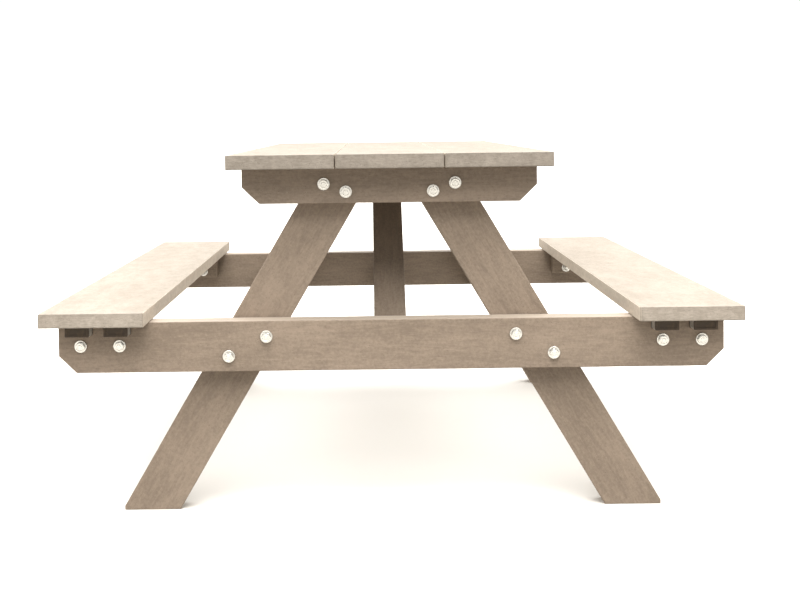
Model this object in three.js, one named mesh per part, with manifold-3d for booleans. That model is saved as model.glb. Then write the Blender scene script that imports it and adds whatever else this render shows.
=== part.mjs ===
// A-frame picnic table of moulded plastic beams and planks. Two bolted end frames, joined by
// two diagonal braces and a batten, carry a three-plank top and one plank on each side as a seat.
// Millimetres, +Z up, origin on the ground under the middle of the table. The planks run along Y,
// the front frame stands at -Y, and left is -X.
import * as THREE from 'three';
import { mergeVertices } from 'three/addons/utils/BufferGeometryUtils.js';
import Module from 'manifold-3d';

const wasm = await Module();
wasm.setup();

// Overall sizes
const overallWidth = 1440;
const overallLength = 1500;
const topHeight = 760;
const seatHeight = 442;
const fitGap = 0.3;             // left between pieces that bear on each other

// Planks of the top and of the seats
const plankThickness = 30;
const topPlankWidth = 221;
const topPlankGap = 2;
const seatPlankWidth = 215;
const plankEdgeRadius = 4;

// Beams of the end frames, all of one thickness
const beamThickness = 50;
const frameOuterFace = 681;     // outer face of rail and bearer, from the middle of the table
const railLength = 1392;
const railHeight = 106;
const railChamfer = { across: 37, up: 36 };
const bearerLength = 616;
const bearerHeight = 74;
const bearerChamfer = { across: 36, up: 35 };

// Legs lean inward and are cut flat at the ground and under the top
const legFootOuter = 579;       // from the centre line to the sharp outer toe
const legFootWidth = 124.5;     // along the ground
const legLean = 0.589;          // sideways run for each unit of height
const legToeCut = 5;            // the sharp toe is cut back this far

// Blocks behind the rail ends, under the seats
const blockInnerEnd = 526;
const blockOuterEnd = 693;
const blockBottom = 345;

// Steel box sections that stiffen each seat lie in notches in the rails and blocks
const sectionWidth = 50;
const sectionHeight = 25;
const sectionWall = 2;
const sectionHalfLength = 711;  // over the end plugs
const sectionCentres = { inner: 570, outer: 650 };
const notchClearance = 0.5;
const plugFlange = 3;
const plugDepth = 15;

// Batten under the middle of the top, and the braces that rise to it from the rails
const battenLength = 620;
const battenWidth = 106;
const braceWidth = 70;
const braceRise = 0.735;        // height gained for each unit of run
const braceFootTop = 349;       // height of the brace's upper face at the rail

// Bent steel plates that hold the braces
const plateThickness = 4;
const plateWidth = 60;
const footPlate = { upRail: 40, alongBrace: 50 };
const headPlate = { underBatten: 85, alongBrace: 50 };

// M12 bolts with a washer under head and nut
const boltRadius = 6;
const boltHoleRadius = 6.5;
const washerRadius = 13;
const washerThickness = 2.5;
const hexAcrossCorners = 20.8;
const headHeight = 7.5;
const nutHeight = 10;
const boltTail = 5;
const roundSides = 12;

// Bolt places in the end frame: distance from the centre line and height above ground
const boltPlaces = {
  bearer_outer: { across: 137, up: 696.5 },
  bearer_inner: { across: 91, up: 680 },
  leg_outer: { across: 340, up: 338 },
  leg_inner: { across: 261, up: 378.5 },
  seat_outer: { across: 649.5, up: 362.5 },
  seat_inner: { across: 568, up: 362.5 },
};

const topUnderside = topHeight - plankThickness;
const seatUnderside = seatHeight - plankThickness;
const frameInnerFace = frameOuterFace - beamThickness;
const secondLayerFace = frameInnerFace - fitGap;

const plankMaterial = new THREE.MeshStandardMaterial({ color: '#d6c7ae', roughness: 0.8, metalness: 0 });
const beamMaterial = new THREE.MeshStandardMaterial({ color: '#9c8c7a', roughness: 0.75, metalness: 0 });
const braceMaterial = new THREE.MeshStandardMaterial({ color: '#85766a', roughness: 0.75, metalness: 0 });
const boltMaterial = new THREE.MeshStandardMaterial({ color: '#d8d6cf', roughness: 0.3, metalness: 1 });
const sectionMaterial = new THREE.MeshStandardMaterial({ color: '#8f8a82', roughness: 0.5, metalness: 0.8 });
const plugMaterial = new THREE.MeshStandardMaterial({ color: '#332e29', roughness: 0.6, metalness: 0 });

// ---- solids -------------------------------------------------------------------------------

function toManifold(geometry) {
  const bare = geometry.index ? geometry.toNonIndexed() : geometry.clone();
  bare.deleteAttribute('normal');
  bare.deleteAttribute('uv');
  const merged = mergeVertices(bare, 1e-4);
  return new wasm.Manifold(new wasm.Mesh({
    numProp: 3,
    vertProperties: new Float32Array(merged.attributes.position.array),
    triVerts: new Uint32Array(merged.index.array),
  }));
}

function toGeometry(manifold) {
  const { vertProperties, triVerts } = manifold.getMesh();
  const geometry = new THREE.BufferGeometry();
  geometry.setAttribute('position', new THREE.BufferAttribute(new Float32Array(vertProperties), 3));
  geometry.setIndex(new THREE.BufferAttribute(new Uint32Array(triVerts), 1));
  geometry.computeVertexNormals();
  return geometry;
}

// An outline in width and height becomes a slab whose outer face is at y = 0 and which runs to +Y.
function slab(shape, thickness) {
  const settings = { depth: thickness, bevelEnabled: false, curveSegments: 2 };
  const geometry = new THREE.ExtrudeGeometry(shape, settings);
  return geometry.rotateX(Math.PI / 2).translate(0, thickness, 0);
}

function outline(points) {
  return new THREE.Shape(points.map(([across, up]) => new THREE.Vector2(across, up)));
}

// A round bar along Y, from one y to another.
function roundBar(radius, from, to, sides = roundSides) {
  const bar = new THREE.CylinderGeometry(radius, radius, to - from, sides);
  return toManifold(bar.translate(0, (from + to) / 2, 0));
}

function drill(geometry, places) {
  let solid = toManifold(geometry);
  for (const { across, up } of places) {
    const hole = roundBar(boltHoleRadius, -beamThickness, 2 * beamThickness);
    solid = solid.subtract(hole.translate([across, 0, up]));
  }
  return toGeometry(solid);
}

function piece(name, geometry, material, x = 0, y = 0, z = 0) {
  const mesh = new THREE.Mesh(geometry, material);
  mesh.name = name;
  mesh.position.set(x, y, z);
  return mesh;
}

function assembly(...children) {
  return new THREE.Group().add(...children);
}

// ---- planks -------------------------------------------------------------------------------

function plank(name, width, centre, height) {
  const w = width / 2;
  const t = plankThickness;
  const r = plankEdgeRadius;
  const shape = new THREE.Shape();
  shape.moveTo(-w + r, 0);
  shape.lineTo(w - r, 0);
  shape.absarc(w - r, r, r, -Math.PI / 2, 0);
  shape.lineTo(w, t - r);
  shape.absarc(w - r, t - r, r, 0, Math.PI / 2);
  shape.lineTo(-w + r, t);
  shape.absarc(-w + r, t - r, r, Math.PI / 2, Math.PI);
  shape.lineTo(-w, r);
  shape.absarc(-w + r, r, r, Math.PI, 1.5 * Math.PI);
  return piece(name, slab(shape, overallLength), plankMaterial, centre, -overallLength / 2, height - t);
}

function tableTop() {
  const pitch = topPlankWidth + topPlankGap;
  return assembly(
    plank('top_plank_left', topPlankWidth, -pitch, topHeight),
    plank('top_plank_middle', topPlankWidth, 0, topHeight),
    plank('top_plank_right', topPlankWidth, pitch, topHeight),
  );
}

function seatPlanks() {
  const centre = (overallWidth - seatPlankWidth) / 2;
  return assembly(
    plank('seat_plank_left', seatPlankWidth, -centre, seatHeight),
    plank('seat_plank_right', seatPlankWidth, centre, seatHeight),
  );
}

// ---- end frames ---------------------------------------------------------------------------

// Steps down into each section's notch along a top edge, for one side of the table.
function notchedEdge(side, top) {
  const half = sectionWidth / 2 + notchClearance;
  const floor = seatUnderside - fitGap - sectionHeight - fitGap;
  const order = side < 0 ? ['outer', 'inner'] : ['inner', 'outer'];
  return order.flatMap((which) => {
    const centre = side * sectionCentres[which];
    return [[centre - half, top], [centre - half, floor], [centre + half, floor], [centre + half, top]];
  });
}

function mirrored(place) {
  return [place, { across: -place.across, up: place.up }];
}

function rail(name) {
  const half = railLength / 2;
  const top = seatUnderside - fitGap;
  const bottom = seatUnderside - railHeight;
  const { across, up } = railChamfer;
  const shape = outline([
    [-half, top], ...notchedEdge(-1, top), ...notchedEdge(1, top), [half, top],
    [half, bottom + up], [half - across, bottom], [-half + across, bottom], [-half, bottom + up],
  ]);
  const { leg_outer, leg_inner, seat_outer, seat_inner } = boltPlaces;
  const places = [leg_outer, leg_inner, seat_outer, seat_inner].flatMap(mirrored);
  return piece(name, drill(slab(shape, beamThickness), places), beamMaterial, 0, -frameOuterFace, 0);
}

function bearer(name) {
  const half = bearerLength / 2;
  const top = topUnderside - fitGap;
  const bottom = topUnderside - bearerHeight;
  const { across, up } = bearerChamfer;
  const shape = outline([
    [-half, top], [half, top], [half, bottom + up],
    [half - across, bottom], [-half + across, bottom], [-half, bottom + up],
  ]);
  const places = [boltPlaces.bearer_outer, boltPlaces.bearer_inner].flatMap(mirrored);
  return piece(name, drill(slab(shape, beamThickness), places), beamMaterial, 0, -frameOuterFace, 0);
}

function leg(name, side) {
  const top = topUnderside - fitGap;
  const run = legLean * top;
  const toe = legFootOuter - legToeCut;
  const shape = outline([
    [side * toe, 0], [side * toe, legToeCut / legLean], [side * (legFootOuter - run), top],
    [side * (legFootOuter - legFootWidth - run), top], [side * (legFootOuter - legFootWidth), 0],
  ]);
  const { bearer_outer, bearer_inner, leg_outer, leg_inner } = boltPlaces;
  const places = [bearer_outer, bearer_inner, leg_outer, leg_inner]
    .map(({ across, up }) => ({ across: side * across, up }));
  return piece(name, drill(slab(shape, beamThickness), places), beamMaterial, 0, -secondLayerFace, 0);
}

function seatBlock(name, side) {
  const top = seatUnderside - fitGap;
  const ends = [side * blockInnerEnd, side * blockOuterEnd].sort((a, b) => a - b);
  const shape = outline([
    [ends[0], blockBottom], [ends[0], top], ...notchedEdge(side, top), [ends[1], top], [ends[1], blockBottom],
  ]);
  const places = [boltPlaces.seat_outer, boltPlaces.seat_inner]
    .map(({ across, up }) => ({ across: side * across, up }));
  return piece(name, drill(slab(shape, beamThickness), places), beamMaterial, 0, -secondLayerFace, 0);
}

// Bolt, nut and two washers through both layers of an end frame, head outward.
function boltSet(name, side, { across, up }) {
  const grip = 2 * beamThickness + 3 * fitGap;
  const headUnderside = -fitGap - washerThickness;
  const nutFace = grip - fitGap + washerThickness;
  const sink = washerThickness / 2;
  const solid = roundBar(boltRadius, headUnderside, nutFace + nutHeight + boltTail)
    .add(roundBar(washerRadius, headUnderside, -fitGap))
    .add(roundBar(hexAcrossCorners / 2, headUnderside - headHeight, headUnderside + sink, 6))
    .add(roundBar(washerRadius, nutFace - washerThickness, nutFace))
    .add(roundBar(hexAcrossCorners / 2, nutFace - sink, nutFace + nutHeight, 6));
  return piece(name, toGeometry(solid), boltMaterial, side * across, -frameOuterFace, up);
}

function endFrame(end, sides) {
  const frame = assembly(rail(`${end}_rail`), bearer(`${end}_bearer`));
  for (const [side, word] of sides) {
    frame.add(leg(`${end}_leg_${word}`, side), seatBlock(`${end}_seat_block_${word}`, side));
    for (const [where, place] of Object.entries(boltPlaces)) {
      frame.add(boltSet(`bolt_${end}_${word}_${where}`, side, place));
    }
  }
  return frame;
}

// ---- seat stiffeners ----------------------------------------------------------------------

function rectangle(width, height) {
  const [w, h] = [width / 2, height / 2];
  return [[-w, -h], [w, -h], [w, h], [-w, h]];
}

function boxSection() {
  const shape = outline(rectangle(sectionWidth, sectionHeight));
  const bore = rectangle(sectionWidth - 2 * sectionWall, sectionHeight - 2 * sectionWall);
  shape.holes.push(outline(bore));
  const half = sectionHalfLength - plugFlange - fitGap;
  return slab(shape, 2 * half).translate(0, -half, 0);
}

// The plug's flange covers the end of the section and its body fits inside with a small gap.
function sectionPlug() {
  const inset = 2 * (sectionWall + fitGap);
  const flange = slab(outline(rectangle(sectionWidth, sectionHeight)), plugFlange);
  const core = outline(rectangle(sectionWidth - inset, sectionHeight - inset));
  const body = slab(core, plugDepth + plugFlange / 2);
  return toGeometry(toManifold(flange).add(toManifold(body.translate(0, plugFlange / 2, 0))));
}

function seatStiffeners() {
  const height = seatUnderside - fitGap - sectionHeight / 2;
  const group = new THREE.Group();
  for (const [side, word] of [[-1, 'left'], [1, 'right']]) {
    for (const [which, centre] of Object.entries(sectionCentres)) {
      const x = side * centre;
      const place = `${word}_${which}`;
      const front = piece(`plug_front_${place}`, sectionPlug(), plugMaterial, x, -sectionHalfLength, height);
      const back = piece(`plug_back_${place}`, sectionPlug(), plugMaterial, x, sectionHalfLength, height);
      back.rotation.z = Math.PI;
      group.add(piece(`seat_section_${place}`, boxSection(), sectionMaterial, x, 0, height), front, back);
    }
  }
  return group;
}

// ---- batten, braces and their plates ------------------------------------------------------

function batten() {
  const shape = outline(rectangle(battenLength, beamThickness));
  const height = topUnderside - fitGap - beamThickness / 2;
  return piece('top_batten', slab(shape, battenWidth), beamMaterial, 0, -battenWidth / 2, height);
}

// A side outline in run along Y and height, made as wide as given and centred on the middle of the table.
function sideSlab(points, width) {
  return slab(outline(points), width).rotateZ(Math.PI / 2).translate(width / 2, 0, 0);
}

function braceUpperFace(y) {
  return braceFootTop + braceRise * (y + frameInnerFace);
}

const braceDrop = beamThickness * Math.hypot(1, braceRise);   // upper to lower face, measured upright

function braceLowerFaceAt(height) {
  return (height + braceDrop - braceFootTop) / braceRise - frameInnerFace;
}

function brace(name) {
  const foot = seatUnderside - railHeight;
  const top = topUnderside - fitGap;
  const head = -battenWidth / 2 - fitGap;
  const upperFaceTop = (top - braceFootTop) / braceRise - frameInnerFace;
  const points = [
    [-secondLayerFace, foot], [braceLowerFaceAt(foot), foot], [head, braceUpperFace(head) - braceDrop],
    [head, top], [upperFaceTop, top], [-secondLayerFace, braceUpperFace(-secondLayerFace)],
  ];
  return piece(name, sideSlab(points, braceWidth), braceMaterial);
}

// A plate bent once. The corner lies on the pieces it joins; the two unit directions lie along
// them, and the plate's thickness is on the open side of the bend.
function bentPlate(name, corner, first, firstLength, second, secondLength) {
  const at = (along, distance) => corner.clone().addScaledVector(along, distance);
  const bisector = first.clone().add(second).normalize();
  const cosine = first.dot(second);
  const reach = plateThickness / Math.sqrt((1 - cosine) / 2);
  const inside = at(bisector, reach);
  const firstSide = bisector.clone().addScaledVector(first, -bisector.dot(first)).normalize();
  const secondSide = bisector.clone().addScaledVector(second, -bisector.dot(second)).normalize();
  const points = [
    at(first, firstLength), corner, at(second, secondLength),
    at(second, secondLength).addScaledVector(secondSide, plateThickness), inside,
    at(first, firstLength).addScaledVector(firstSide, plateThickness),
  ];
  const pairs = points.map(({ x, y }) => [x, y]);
  const anticlockwise = THREE.ShapeUtils.area(points) > 0 ? pairs : pairs.reverse();
  return piece(name, sideSlab(anticlockwise, plateWidth), sectionMaterial);
}

const alongBrace = new THREE.Vector2(1, braceRise).normalize();
const acrossBrace = new THREE.Vector2(-alongBrace.y, alongBrace.x);

// Stands on the brace's upper face, against the rail.
function footBracket(name) {
  const y = -secondLayerFace + fitGap;
  const corner = new THREE.Vector2(y, braceUpperFace(y) + fitGap * Math.hypot(1, braceRise));
  return bentPlate(name, corner, new THREE.Vector2(0, 1), footPlate.upRail, alongBrace, footPlate.alongBrace);
}

// Runs under the batten and down the brace's lower face.
function headBracket(name) {
  const height = topUnderside - 2 * fitGap - beamThickness;
  const corner = new THREE.Vector2(braceLowerFaceAt(height), height).addScaledVector(acrossBrace, -fitGap);
  const down = alongBrace.clone().negate();
  return bentPlate(name, corner, new THREE.Vector2(1, 0), headPlate.underBatten, down, headPlate.alongBrace);
}

function halfBracing(end) {
  return assembly(
    brace(`${end}_brace`), footBracket(`${end}_brace_foot_bracket`), headBracket(`${end}_brace_head_bracket`),
  );
}

// ---- table --------------------------------------------------------------------------------

const backHalf = assembly(endFrame('back', [[1, 'left'], [-1, 'right']]), halfBracing('back'));
backHalf.rotation.z = Math.PI;

const table = assembly(
  tableTop(), seatPlanks(), seatStiffeners(), batten(),
  endFrame('front', [[-1, 'left'], [1, 'right']]), halfBracing('front'), backHalf,
);

export default table;
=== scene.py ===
import math
import random

import bmesh
import bpy
from mathutils import Matrix, Vector, noise


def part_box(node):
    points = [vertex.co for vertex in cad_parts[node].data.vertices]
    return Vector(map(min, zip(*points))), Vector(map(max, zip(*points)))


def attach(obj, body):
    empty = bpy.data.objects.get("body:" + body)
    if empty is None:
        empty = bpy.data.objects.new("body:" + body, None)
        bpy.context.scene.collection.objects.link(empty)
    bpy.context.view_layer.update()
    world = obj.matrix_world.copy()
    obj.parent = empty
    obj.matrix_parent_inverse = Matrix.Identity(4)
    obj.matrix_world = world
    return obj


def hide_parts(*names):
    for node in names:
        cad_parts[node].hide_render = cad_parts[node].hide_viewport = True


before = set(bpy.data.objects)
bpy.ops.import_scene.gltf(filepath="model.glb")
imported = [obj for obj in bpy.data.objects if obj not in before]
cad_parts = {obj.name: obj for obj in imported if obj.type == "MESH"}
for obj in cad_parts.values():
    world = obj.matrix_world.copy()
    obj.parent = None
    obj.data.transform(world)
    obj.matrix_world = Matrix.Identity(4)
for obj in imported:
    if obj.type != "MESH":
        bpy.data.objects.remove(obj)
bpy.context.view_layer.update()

bl_info = {
    "name": "Picnic Table",
    "version": (1, 0, 0),
    "blender": (4, 5, 0),
    "location": "View3D > Sidebar > Picnic Table",
    "description": "Builds the planks, beams and steel fittings of a bolted picnic table around its frame",
    "category": "Add Mesh",
}

MM = 0.001
X, Y, Z = range(3)
BODY = "root"
ENDS = ("front", "back")
SIDES = ("left", "right")
BOLT_PLACES = ("bearer_outer", "bearer_inner", "leg_outer", "leg_inner", "seat_outer", "seat_inner")
TOP_PLANKS = ("top_plank_left", "top_plank_middle", "top_plank_right")
SEAT_PLANKS = ("seat_plank_left", "seat_plank_right")
SECTION_PLACES = ("inner", "outer")
TOUCH = 0.01 * MM             # closer than this, two places are one

PLANK_BAND = 15 * MM          # along an edge, where a plank's face is flatter
BEAM_BAND = 12 * MM           # along an edge, where a beam's face is flatter
WARP_WIDTH = 90 * MM          # from one warp of a beam's face to the next
TOP_CORNER = 1.5 * MM
SEAT_CORNER = 2 * MM
WORN_CORNER = 6 * MM          # one corner of the right seat

BOLT_SLACK = 0.4 * MM         # round a bolt in its washers
NUT_SLACK = 0.1 * MM          # round a bolt in its nut
PLUG_FLANGE = 3 * MM          # the part of a plug outside its section
PLUG_SOFTENING = 0.8 * MM     # rounding of the flange
PLUG_SLACK = 0.3 * MM         # between a plug and the section's wall
PLUG_RIM = 4.5 * MM           # width of the flat rim round the dished face
PLATE_SOFTENING = 0.8 * MM
PLATE_SCREW_OFFSET = 16 * MM  # a plate's screws, from the middle of its width
BATTEN_SCREWS = (0.25, 0.75)                 # shares of a plank's width
SECTION_SCREWS = (0.12, 0.37, 0.63, 0.88)    # shares of a section's length
FITTING_CREASE = math.radians(28)
PLATE_CREASE = math.radians(35)


def width_of(node, axis):
    """A node's size along one axis, from its box."""
    low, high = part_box(node)
    return high[axis] - low[axis]


# ---- what a user would change -------------------------------------------------------------------


def length(name, description, default):
    """A property for a length in metres."""
    return bpy.props.FloatProperty(
        name=name, description=description, default=default, unit="LENGTH", precision=4
    )


def position(name, description, default):
    """A property for a place in the scene."""
    return bpy.props.FloatVectorProperty(
        name=name, description=description, default=default, subtype="TRANSLATION"
    )


def angle(name, description, degrees):
    """A property for an angle."""
    return bpy.props.FloatProperty(
        name=name, description=description, default=math.radians(degrees), subtype="ANGLE"
    )


def amount(name, description, default):
    """A property for a plain number."""
    return bpy.props.FloatProperty(name=name, description=description, default=default)


def colour(name, description, default):
    """A property for a linear colour."""
    return bpy.props.FloatVectorProperty(
        name=name, description=description, default=default, subtype="COLOR", size=3, min=0, max=1
    )


def tint(name, description, default):
    """A property for how light one kind of piece is beside the rest of its material."""
    return bpy.props.FloatProperty(name=name, description=description, default=default, min=0, soft_max=2)


class PlankSettings(bpy.types.PropertyGroup):
    """Moulded planks of the top and the seats"""

    edge: length("Edge Radius", "Rounding of the moulded edges", 1.5 * MM)
    cell: length("Cell", "Spacing of the mesh over the planks", 8 * MM)
    ripple_depth: length("Ripple Depth", "Deepest hollow of the rippled faces", 1.1 * MM)
    ripple_width: length("Ripple Width", "Width of one ripple", 34 * MM)
    light: colour("Light Tone", "Lighter plastic of the planks", (0.315, 0.272, 0.222))
    dark: colour("Dark Tone", "Darker flow marks of the planks", (0.222, 0.187, 0.147))
    seat_tint: tint("Seat Tint", "Lightness of the seat planks", 0.97)
    seat_end_tint: tint("Seat End Tint", "Lightness of the sawn ends of the seat planks", 1.12)
    top_tint: tint("Top Tint", "Lightness of the top planks", 0.91)
    top_end_tint: tint("Top End Tint", "Lightness of the sawn ends of the top planks", 0.82)
    # Painted light: the long sides of the planks are made lighter than their faces, standing in for light
    # that their shaded sides lack.
    side_tint: tint("Side Tint", "Lightness of the long sides of a plank beside its faces", 1.8)


class BeamSettings(bpy.types.PropertyGroup):
    """Moulded beams of the end frames, the braces and the batten"""

    edge: length("Edge Radius", "Rounding of the beam edges", 1.5 * MM)
    cell: length("Cell", "Spacing of the mesh over the beams", 20 * MM)
    sink: length("Sink", "Hollow left in a wide face as the moulding cooled", 0.7 * MM)
    warp: length("Warp", "Unevenness of a face over a hand's width", 0.7 * MM)
    light: colour("Light Tone", "Lighter plastic of the beams", (0.228, 0.175, 0.128))
    dark: colour("Dark Tone", "Darker flow marks of the beams", (0.148, 0.112, 0.080))
    rail_tint: tint("Rail Tint", "Lightness of the seat rails", 1.02)
    bearer_tint: tint("Bearer Tint", "Lightness of the bearers under the top", 0.9)
    leg_tint: tint("Leg Tint", "Lightness of the legs and the seat blocks", 1.0)
    brace_tint: tint("Brace Tint", "Lightness of the braces and the batten", 0.86)
    # Painted light: a paler tone blended onto the upper faces of the beams, standing in for the light they
    # catch from above.
    bleached: colour("Top Light Tone", "Painted light on the upper faces", (0.330, 0.275, 0.218))


class FittingSettings(bpy.types.PropertyGroup):
    """Bolts, screws, plates, box sections and plugs"""

    washer: length("Washer", "Diameter of the bolt washers", width_of("bolt_front_left_leg_outer", X))
    washer_thickness: length("Washer Thickness", "Thickness of the bolt washers", 2.5 * MM)
    shank: length("Bolt", "Diameter of the bolts", 12 * MM)
    across_flats: length("Across Flats", "Width of bolt heads and nuts over the flats", 18 * MM)
    head: length("Head", "Height of the bolt heads", 7.5 * MM)
    nut: length("Nut", "Height of the nuts", 10 * MM)
    pitch: length("Thread Pitch", "Rise of the bolt thread in one turn", 1.75 * MM)
    screw: length("Screw", "Width of the screw heads over the flats", 8 * MM)
    wall: length("Section Wall", "Wall of the box sections", 2 * MM)
    section_edge: length("Section Edge Radius", "Outer rounding of the box sections", 2 * MM)
    steel: colour("Stainless", "Bolts, nuts, washers and screws", (0.45, 0.435, 0.40))
    galvanised: colour("Galvanised", "Box sections and plates", (0.40, 0.37, 0.325))
    plug: colour("Plug", "Plastic plugs in the section ends", (0.040, 0.028, 0.0175))


class StageSettings(bpy.types.PropertyGroup):
    """Floor, lights and camera"""

    floor: colour("Floor", "Pale floor", (0.68, 0.65, 0.60))
    floor_reach: length("Floor Reach", "Half the width of the floor", 300.0)
    glow: amount("Floor Glow", "Brightness that reaches the table from below", 1.03)
    glow_tone: colour("Glow Tone", "Colour of the light from below", (1.0, 0.94, 0.84))
    wall: amount("Wall", "Brightness of the surround at eye level", 1.03)
    upper_wall: amount("Upper Wall", "Brightness of the surround a third of the way up", 2.0)
    ceiling: amount("Ceiling", "Brightness of the surround overhead", 5.8)
    lamp_power: amount("Lamp Power", "Power of the soft lamp in front of the table, in watts", 157.0)
    lamp_width: length("Lamp Width", "Width of the soft lamp", 3.0)
    lamp_place: position("Lamp Place", "Where the soft lamp hangs", (0, -3.0, 3.6))
    camera_place: position("Camera Place", "Where the camera stands", (-0.0348, -3.1923, 0.8218))
    pan: angle("Pan", "Turn to the left", 0.055)
    tilt: angle("Tilt", "Turn upward", -1.936)
    roll: angle("Roll", "Turn clockwise", 0.712)
    lens: amount("Lens", "Focal length in millimetres", 54.35)
    shift: bpy.props.FloatVectorProperty(
        name="Shift", description="Sideways and upward lens shift", default=(0.036, -0.17), size=2
    )


# ---- meshes -------------------------------------------------------------------------------------


class Stock:
    """The straight length a piece was cut from: its middle and its long, wide and thick directions."""

    def __init__(self, centre, along, across, seed):
        self.centre = Vector(centre)
        self.along = Vector(along).normalized()
        self.across = Vector(across).normalized()
        self.through = self.along.cross(self.across)
        draw = random.Random(seed)
        self.place = Vector([draw.uniform(0, 40) for _ in range(3)])

    def turned(self, arm):
        """A direction in the stock's own directions."""
        return Vector((arm.dot(self.along), arm.dot(self.across), arm.dot(self.through)))

    def local(self, point):
        """A point of the table in the stock's own directions."""
        return self.turned(point - self.centre)

    def point(self, place):
        """A place in the stock as a point of the table."""
        return self.centre + self.along * place[0] + self.across * place[1] + self.through * place[2]


def number_layer(mesh, name, values):
    """One number for each vertex, for the materials."""
    layer = mesh.attributes.new(name, "FLOAT", "POINT")
    layer.data.foreach_set("value", values)


def settle(mesh, moved, stock, points, **numbers):
    """Moves a mesh's vertices, and notes their places in the stock and some numbers for the materials."""
    for vertex, place in zip(mesh.vertices, moved):
        vertex.co = place
    layer = mesh.attributes.new("stock", "FLOAT_VECTOR", "POINT")
    layer.data.foreach_set("vector", [number for point in points for number in point + stock.place])
    for name, values in numbers.items():
        number_layer(mesh, name, values)
    shade(mesh)


def mesh_from(name, solid):
    """Turns a finished bmesh into a mesh."""
    mesh = bpy.data.meshes.new(name)
    solid.to_mesh(mesh)
    solid.free()
    return mesh


def add_piece(name, mesh, material, slot, *nodes):
    """Puts a finished mesh in the scene as a piece that rides with the table and stands for CAD nodes."""
    piece = bpy.data.objects.new(name, mesh)
    bpy.context.scene.collection.objects.link(piece)
    mesh.materials.clear()
    mesh.materials.append(material)
    if nodes:
        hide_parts(*nodes)
    return piece


def shade(mesh, sharp_angle=None):
    """Smooth shading, broken at edges sharper than the angle."""
    mesh.shade_smooth()
    if sharp_angle is not None:
        mesh.set_sharp_from_angle(angle=sharp_angle)


def ticks(half, edge, cell):
    """Places from -half to half: close together over the rounded edges, then one cell apart."""
    rim = [edge * share for share in (0, 0.2, 0.5, 1, 2.2)]
    inner = half - rim[-1]
    count = max(1, round(2 * inner / cell))
    middle = [-inner + 2 * inner * step / count for step in range(1, count)]
    return [-half + step for step in rim] + middle + [half - step for step in reversed(rim)]


def lattice_skin(places):
    """Points and outward quads over the skin of a block with the given places along each axis."""
    index, points, quads = {}, [], []

    def corner(key):
        if key not in index:
            index[key] = len(points)
            points.append(Vector([places[axis][key[axis]] for axis in range(3)]))
        return index[key]

    for axis in range(3):
        first, second = (axis + 1) % 3, (axis + 2) % 3
        for end in (0, len(places[axis]) - 1):
            for i in range(len(places[first]) - 1):
                for j in range(len(places[second]) - 1):
                    ring = []
                    for di, dj in ((0, 0), (1, 0), (1, 1), (0, 1)):
                        key = [end] * 3
                        key[first], key[second] = i + di, j + dj
                        ring.append(corner(tuple(key)))
                    quads.append(ring if end else ring[::-1])
    return points, quads


def round_edges(point, half, edge):
    """Moves a point of a block's skin onto the block with rounded edges."""
    core = Vector([max(-h + edge, min(h - edge, p)) for p, h in zip(point, half)])
    arm = point - core
    return core + arm * (edge / arm.length) if arm.length > 0 else point


def round_corner(point, half, radius, end, side):
    """Rounds one upright corner of a plank, at an end along it and on a side across it."""
    x, y = point[0] * end - half[0] + radius, point[1] * side - half[1] + radius
    if x <= 0 or y <= 0:
        return point
    share = max(x, y) / math.hypot(x, y)
    return Vector(((half[0] - radius + x * share) * end, (half[1] - radius + y * share) * side, point[2]))


def hollow(place, width):
    """A soft random hollow between 0 and 1, about one width across."""
    broad = noise.noise(place / width)
    fine = noise.noise(place * 2.7 / width + Vector((7.3, 1.9, 4.1)))
    return min(1, max(0, 0.5 + 0.75 * broad + 0.4 * fine))


def face_share(normal):
    """How deep the ripples of a plank's face are beside those of its upper face."""
    if abs(normal[X]) > 0.9:
        return 0.25
    if abs(normal[Y]) > 0.9:
        return 0.4
    return 0.6 if normal[Z] < 0 else 1.0


def plank_mesh(name, stock, size, settings, corners, tints):
    """A moulded plank with rounded edges and ripples, shallow on its sawn ends."""
    half = [extent / 2 for extent in size]
    edge = settings.edge
    points, quads = lattice_skin([ticks(extent, edge, settings.cell) for extent in half])
    points = [round_edges(point, half, edge) for point in points]
    for radius, end, side in corners:
        points = [round_corner(point, half, radius, end, side) for point in points]
    mesh = bpy.data.meshes.new(name)
    mesh.from_pydata([stock.point(point) for point in points], [], quads)
    wear, sawn, tint, moved = [], [], [], []
    for vertex, point in zip(mesh.vertices, points):
        normal = stock.turned(vertex.normal)
        ending = min(1, max(0, abs(normal[X]) * 2 - 0.8))
        gap = sorted(h - abs(p) for p, h in zip(point, half))[1]
        inner = min(1, gap / PLANK_BAND)
        dip = hollow(point + stock.place, settings.ripple_width)
        depth = settings.ripple_depth * face_share(normal) * (0.45 + 0.55 * inner)
        moved.append(vertex.co - vertex.normal * depth * dip)
        wear.append(math.exp(-gap / (1.2 * edge)))
        sawn.append(ending)
        # Painted light: the long sides get a lighter tint than the faces, standing in for light.
        side_light = settings.side_tint if abs(normal[Y]) > 0.7 else 1
        tint.append(tints[0] * side_light + (tints[1] - tints[0] * side_light) * ending)
    settle(mesh, moved, stock, points, wear=wear, sawn=sawn, tint=tint)
    return mesh


def sides_of(loop):
    """The sides of a closed loop, each as its two ends."""
    return list(zip(loop, loop[1:] + loop[:1]))


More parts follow.
